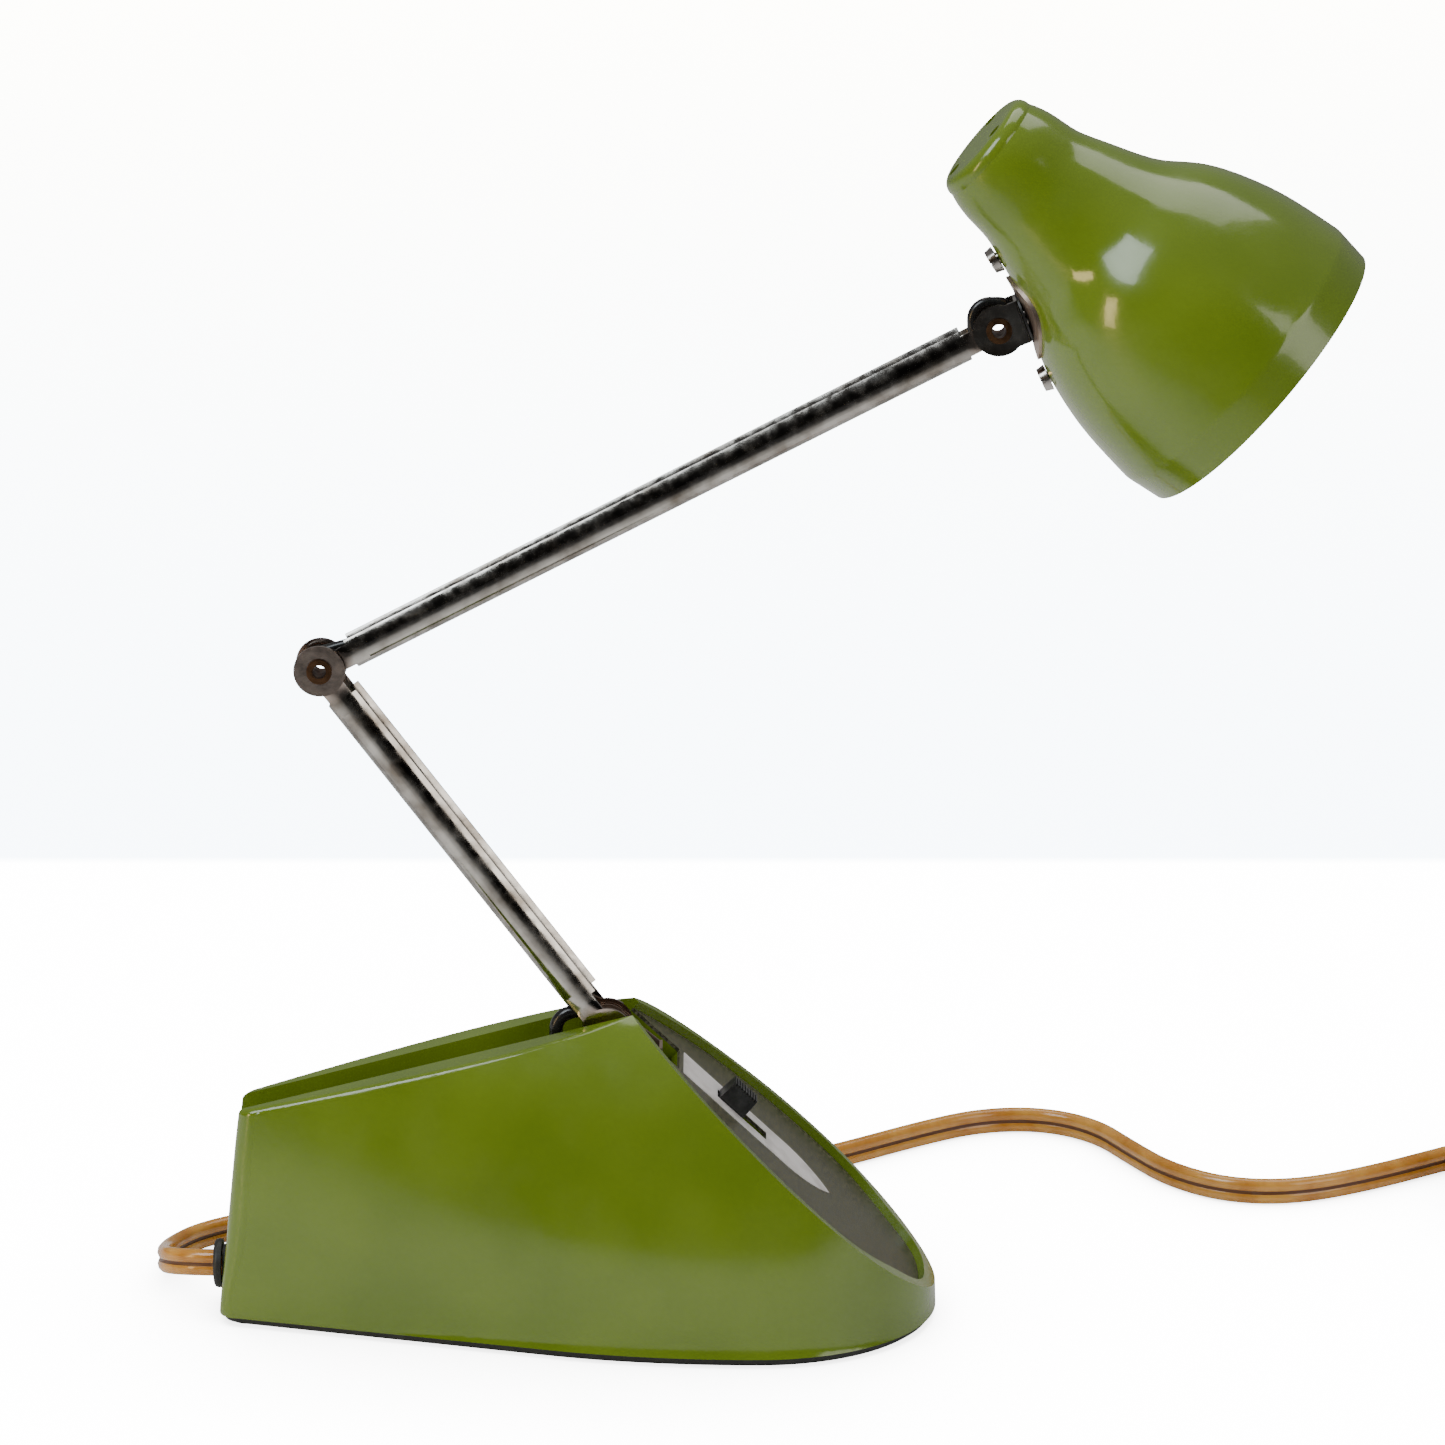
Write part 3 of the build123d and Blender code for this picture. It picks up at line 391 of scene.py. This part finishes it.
def coil_points():
    """Turns of the stored coil: inwards on the table, up, and outwards on top."""
    step = 2 * math.pi / POINTS_PER_TURN
    lanes = [(radius, COIL_FLOORS[0]) for radius in COIL_RADII]
    lanes += [(radius, COIL_FLOORS[1]) for radius in COIL_RADII[::-1]]
    points = []
    for turn, (radius, floor) in enumerate(lanes):
        following = lanes[min(turn + 1, len(lanes) - 1)]
        for stop in range(POINTS_PER_TURN):
            angle = COIL_START - step * (turn * POINTS_PER_TURN + stop)
            late = max(0, (stop - POINTS_PER_TURN + 4) / 4)
            here = radius + late * (following[0] - radius)
            height = floor + late * (following[1] - floor)
            points.append(coil_place(here, angle, height))
    return points


def tail_points():
    """From the last turn round to the plug, coming down off the coil."""
    points = []
    for stop in range(6):
        angle = COIL_START - 2 * math.pi / POINTS_PER_TURN * stop
        points.append(coil_place(COIL_RADII[0], angle, COIL_FLOORS[1]))
    side = COIL_CENTRE[0] + COIL_RADII[0]
    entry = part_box("plug_body")[1].y / MM
    return points + [(side, entry + 14, 6.6), (side, entry, 6.6)]


def line_along(points, name):
    """Points in metres read from a smooth line through the route."""
    data = bpy.data.curves.new(name, "CURVE")
    data.dimensions = "3D"
    data.resolution_u = 6
    spline = data.splines.new("NURBS")
    spline.points.add(len(points) - 1)
    for point, place in zip(spline.points, points):
        point.co = (*(MM * value for value in place), 1)
    spline.order_u = 3
    spline.use_endpoint_u = True
    holder = bpy.data.objects.new(name, data)
    bpy.context.scene.collection.objects.link(holder)
    mesh = bpy.data.meshes.new_from_object(holder)
    path = [vertex.co.copy() for vertex in mesh.vertices]
    bpy.data.objects.remove(holder)
    bpy.data.meshes.remove(mesh)
    return path


def twin_section():
    """Outline of the flat cord: two round cores side by side with a groove down the middle of each face."""
    outline = []
    core = CORD_THICKNESS / 2
    centre = CORD_WIDTH / 2 - core
    for side in (1, -1):
        for stop in range(CORE_POINTS):
            angle = math.radians(-125 + 250 * stop / (CORE_POINTS - 1))
            outline.append((side * core * math.sin(angle), side * (centre + core * math.cos(angle))))
        outline.append((side * 0.6 * core, 0))
    return outline


def hand_over(shape, name):
    """Turns a finished bmesh into a smooth object of the scene."""
    mesh = bpy.data.meshes.new(name)
    shape.to_mesh(mesh)
    shape.free()
    mesh.shade_smooth()
    piece = bpy.data.objects.new(name, mesh)
    bpy.context.scene.collection.objects.link(piece)
    return piece


def flat_tube(name, path):
    """Twin cord standing on its edge along a path; the two grooves take the second finish, a dark brown that is
    painted shade in the crease.
    """
    shape = bmesh.new()
    outline = twin_section()
    rings = []
    for index, place in enumerate(path):
        ahead = path[min(index + 1, len(path) - 1)] - path[max(index - 1, 0)]
        side = Vector((-ahead.y, ahead.x, 0)).normalized()
        up = ahead.cross(side).normalized()
        up = up if up.z > 0 else -up
        rings.append([shape.verts.new(place + side * across + up * along) for across, along in outline])
    edges = [[shape.edges.new((a, b)) for a, b in zip(ring, ring[1:] + ring[:1])] for ring in rings]
    for near, far in zip(edges, edges[1:]):
        for index, (first, second) in enumerate(zip(near, far)):
            a, b = first.verts
            c, d = second.verts
            shape.faces.new((a, b, d, c)).material_index = int(index % (CORE_POINTS + 1) >= CORE_POINTS - 1)
    shape.faces.new(rings[0])
    shape.faces.new(rings[-1])
    bmesh.ops.recalc_face_normals(shape, faces=shape.faces)
    return hand_over(shape, name)


def lay_cord(vinyl):
    route = CORD_ROUTE + coil_points() + tail_points()
    path = line_along(route, "cord_line")
    cord = flat_tube("flat_cord", path)
    cord.data.materials.append(vinyl)
    # Painted shade: the groove faces between the cores get a dark brown finish for the shade in the crease.
    cord.data.materials.append(moulded("cord_groove_painted_shade", (0.13, 0.045, 0.008), 0.4))
    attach(cord, "base")
    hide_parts("power_cord", "cord_coil", "cord_tail")


# ---------------------------------------------------------------- build

look_from_the_front()
studio()
table()

green = green_enamel()
nickel = nickel_plate()
black = moulded("black_moulding", (0.016, 0.016, 0.016), 0.36)
cable = moulded("black_cable_skin", (0.012, 0.012, 0.012), 0.24)
vinyl = amber_vinyl()
zinc = bare_metal("zinc_steel", (0.55, 0.55, 0.52), 0.34)
bronze = bronze_lacquer()

finishes = {
    "green_paint": green,
    "grey_panel": speckled_paint(),
    "label_film": label_film(),
    "black_plastic": black,
    "black_rubber": moulded("black_rubber_skin", (0.018, 0.018, 0.018), 0.55),
    "zinc_steel": zinc,
    "iron_core": moulded("varnished_iron", (0.09, 0.085, 0.08), 0.4),
    "copper_winding": moulded("varnished_winding", (0.42, 0.17, 0.045), 0.3),
    "bronze_paint": bronze,
    "nickel": nickel,
    "fibre_washer": moulded("fibre", (0.14, 0.06, 0.03), 0.6),
    "amber_cord": vinyl,
    "amber_plug": vinyl,
    "brass_blades": bare_metal("brass_blade", (0.72, 0.52, 0.24), 0.26),
    "black_cable": cable,
    "black_steel": moulded("black_steel_skin", (0.02, 0.02, 0.02), 0.3),
    "socket_resin": moulded("socket_resin_skin", (0.03, 0.018, 0.012), 0.35),
    "brass_base": bare_metal("brass_cap", (0.74, 0.60, 0.34), 0.25),
    "frosted_glass": frosted_glass(),
}

for subpart in frame["record"]["subparts"]:
    piece = nodes[subpart["node"]]
    piece.data.materials.clear()
    piece.data.materials.append(finishes[subpart["material_slot"]])

# Eyelets: a brownish metal tone, darkened further as painted shade for their dark hollow bores.
eyelet_brown_with_painted_shade = bare_metal("eyelet_brown_painted_shade", (0.16, 0.085, 0.045), 0.4)
for name in ("shoulder_eyelet", "elbow_eyelet", "head_eyelet"):
    nodes[name].data.materials[0] = eyelet_brown_with_painted_shade

for name, start, end in (("lower_arm", SHOULDER, ELBOW), ("upper_arm", ELBOW, HEAD)):
    nodes[name].data.materials[0] = arm_plate(name + "_plate", start, end)

lay_cord(vinyl)
